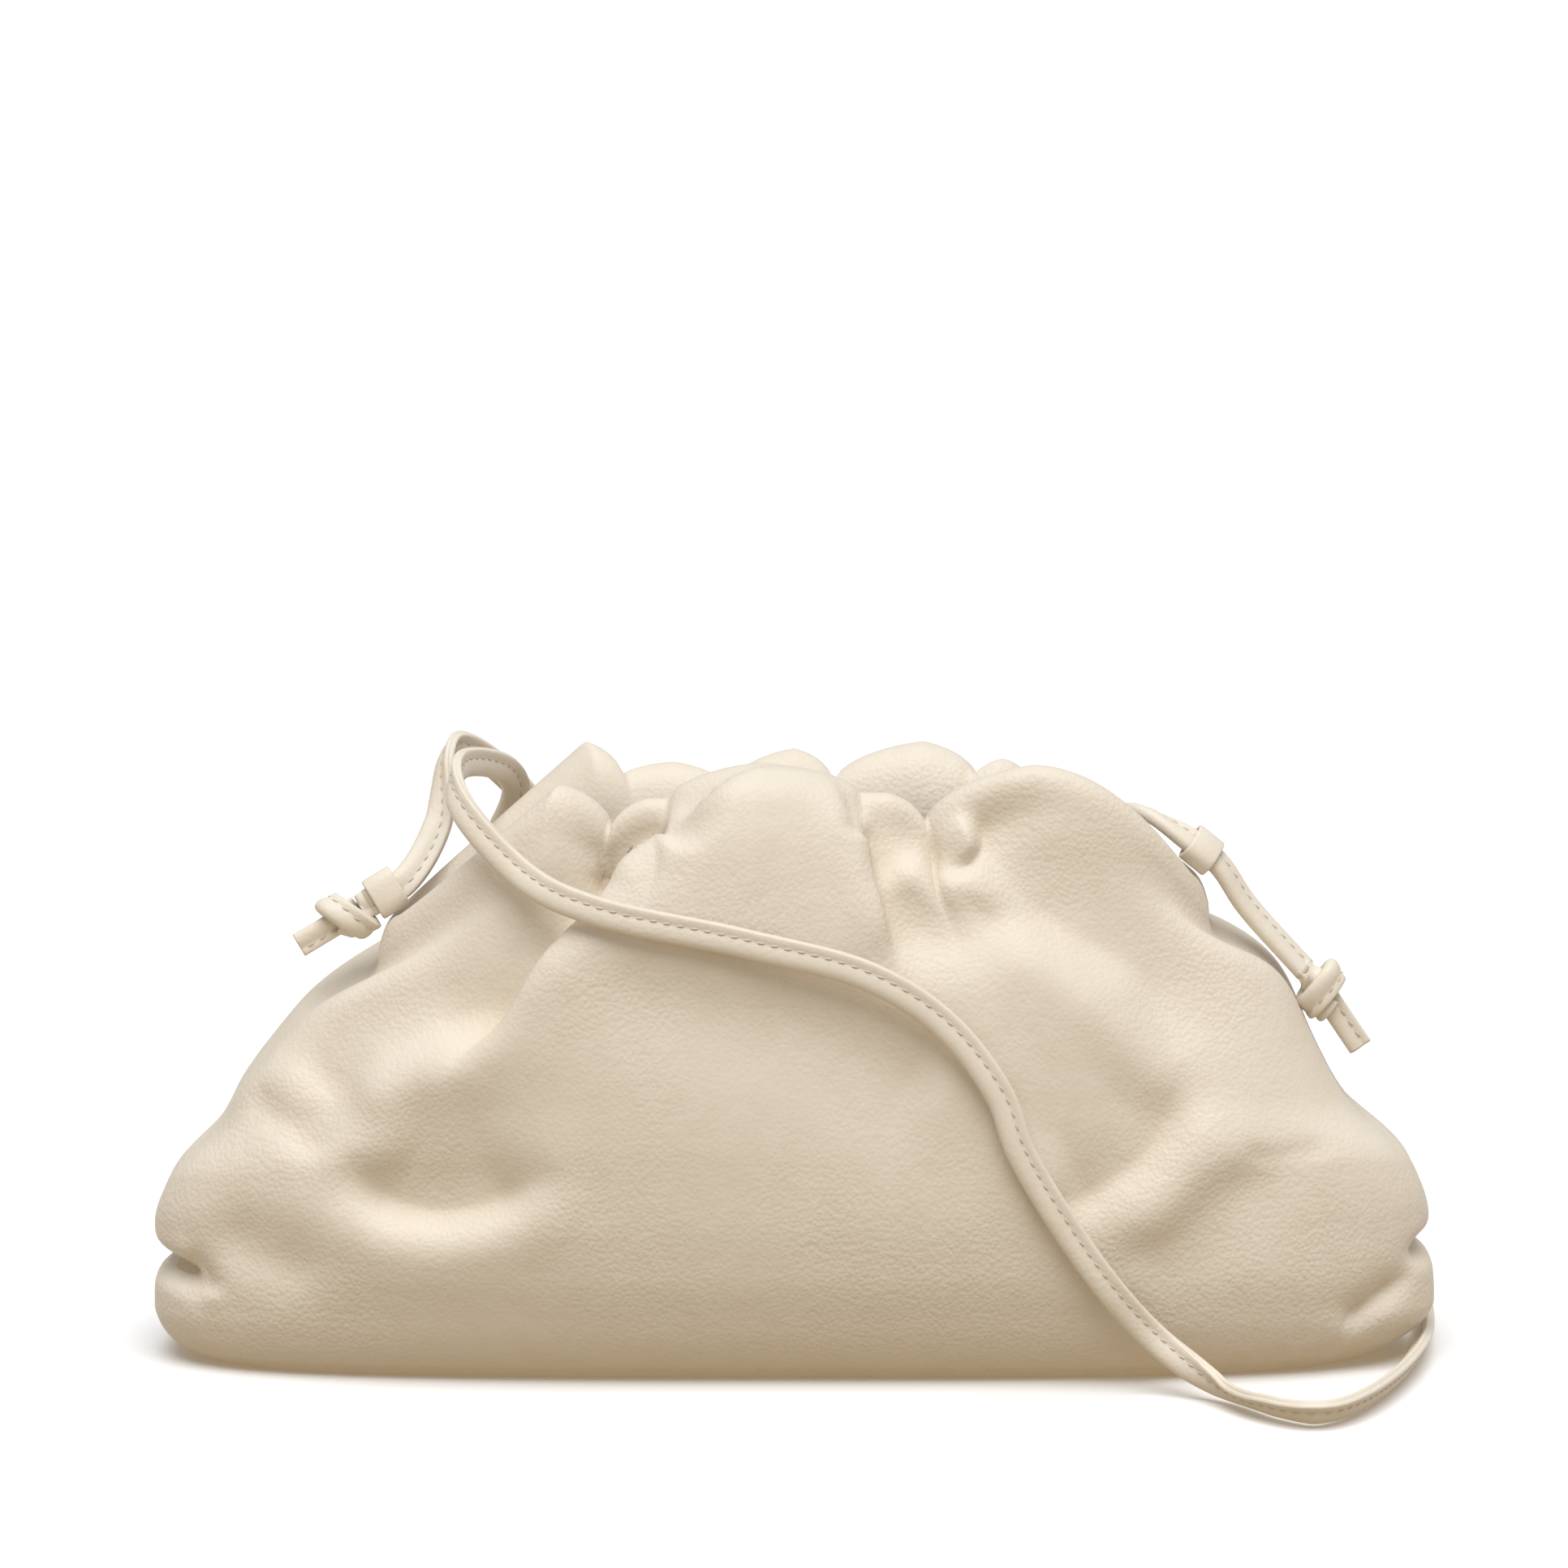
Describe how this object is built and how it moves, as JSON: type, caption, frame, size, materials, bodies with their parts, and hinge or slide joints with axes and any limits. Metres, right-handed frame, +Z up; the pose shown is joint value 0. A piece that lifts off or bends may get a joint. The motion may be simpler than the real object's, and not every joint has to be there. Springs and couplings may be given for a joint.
{
  "type": "leather pouch bag",
  "caption": "Soft gathered leather pouch bag with a rolled slit mouth, standing on its flat foot, and a slim knotted shoulder strap laid over its front.",
  "frame": {"origin": "middle of the flat foot that the bag stands on, on the surface under it", "axes": "+Z up, +X along the bag's width to the right as seen from the front, -Y to the front"},
  "size_m": [0.2235, 0.1346, 0.1064],
  "materials": {
    "body_leather": "smooth soft nappa, cream, fine grain",
    "strap_leather": "smooth folded and stitched strap, cream",
    "frame_steel": "plain, hidden in the rim"
  },
  "bodies": {
    "root": {"pouch_shell": "body_leather", "mouth_frame": "frame_steel", "strap": "strap_leather", "left_strap_loop": "body_leather", "right_strap_loop": "body_leather", "left_knot": "strap_leather", "right_knot": "strap_leather"}
  },
  "joints": []
}
